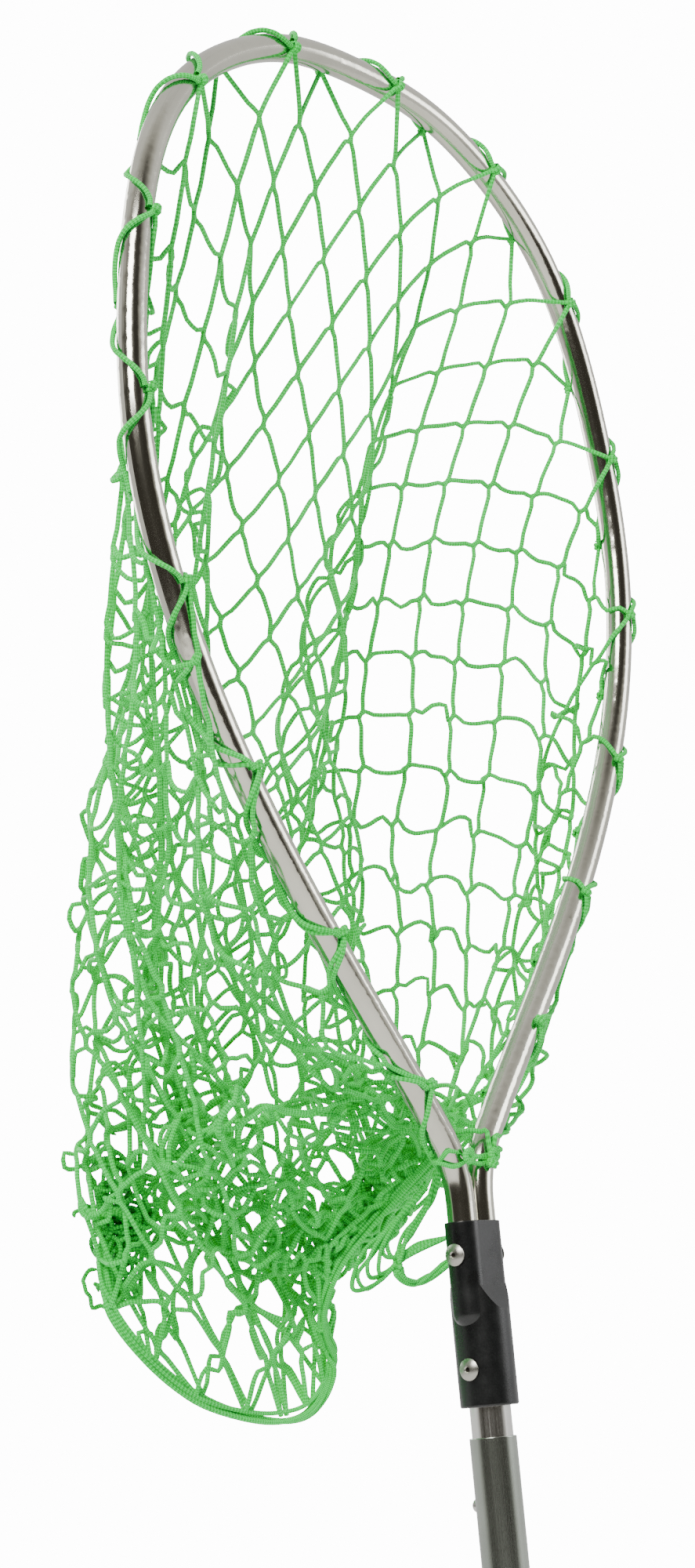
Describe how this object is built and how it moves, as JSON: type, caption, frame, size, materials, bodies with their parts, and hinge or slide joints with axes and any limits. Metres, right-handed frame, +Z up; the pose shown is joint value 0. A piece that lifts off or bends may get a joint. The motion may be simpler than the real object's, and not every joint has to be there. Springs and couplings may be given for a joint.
{
  "type": "landing net",
  "caption": "Hand landing net: teardrop tube hoop with a knotted mesh bag, a moulded yoke and a telescoping tube handle locked by spring buttons.",
  "frame": {"origin": "middle of the flat butt face of the handle's end cap, on the handle's axis", "axes": "+Z up along the handle to the hoop, X across the hoop, +Y to the side that the netting bag hangs on"},
  "size_m": [0.4736, 0.181, 1.403],
  "materials": {
    "hoop_tube": "bright drawn and bent tube, fine lengthwise scuffs",
    "inner_tube": "bright drawn tube",
    "outer_tube": "drawn tube, satin with lengthwise lines",
    "yoke": "black moulded plastic, fine pebble",
    "rivet": "plain blind rivet",
    "stem": "broken steel stem",
    "button": "plated steel",
    "spring": "spring steel strip",
    "bush": "black plastic",
    "grip": "black ribbed sleeve",
    "end_cap": "black plastic",
    "netting": "green braided twine"
  },
  "bodies": {
    "handle": {"outer_tube": "outer_tube", "grip": "grip", "end_cap": "end_cap"},
    "head": {"hoop": "hoop_tube", "yoke": "yoke", "inner_tube": "inner_tube", "tube_bush": "bush", "rivet_hoop_left": "rivet", "rivet_hoop_right": "rivet", "rivet_tube_left": "rivet", "rivet_tube_right": "rivet", "stem_hoop_left": "stem", "stem_hoop_right": "stem", "stem_tube_left": "stem", "stem_tube_right": "stem", "snap_spring": "spring", "lower_spring": "spring", "net_bag": "netting", "net_seam": "netting", "neck_binding": "netting"},
    "snap_button": {"snap_button": "button"},
    "lower_button": {"lower_button": "button"}
  },
  "joints": [
    {"name": "handle_extension", "type": "slide", "parent": "handle", "child": "head", "axis": [0, 0, 1], "range_m": [0, 0.4]},
    {"name": "snap_button_press", "type": "slide", "parent": "head", "child": "snap_button", "axis": [0, -1, 0], "range_m": [0, 0.0051], "stiffness_N_per_m": 700, "deforming": ["snap_spring", "snap_button"]},
    {"name": "lower_button_release", "type": "slide", "parent": "head", "child": "lower_button", "axis": [0, 1, 0], "range_m": [0, 0.0051], "deforming": ["lower_spring", "lower_button"]}
  ],
  "couplings": [
    {"joint": "lower_button_release", "follows": "handle_extension", "ratio": 0.0126}
  ]
}
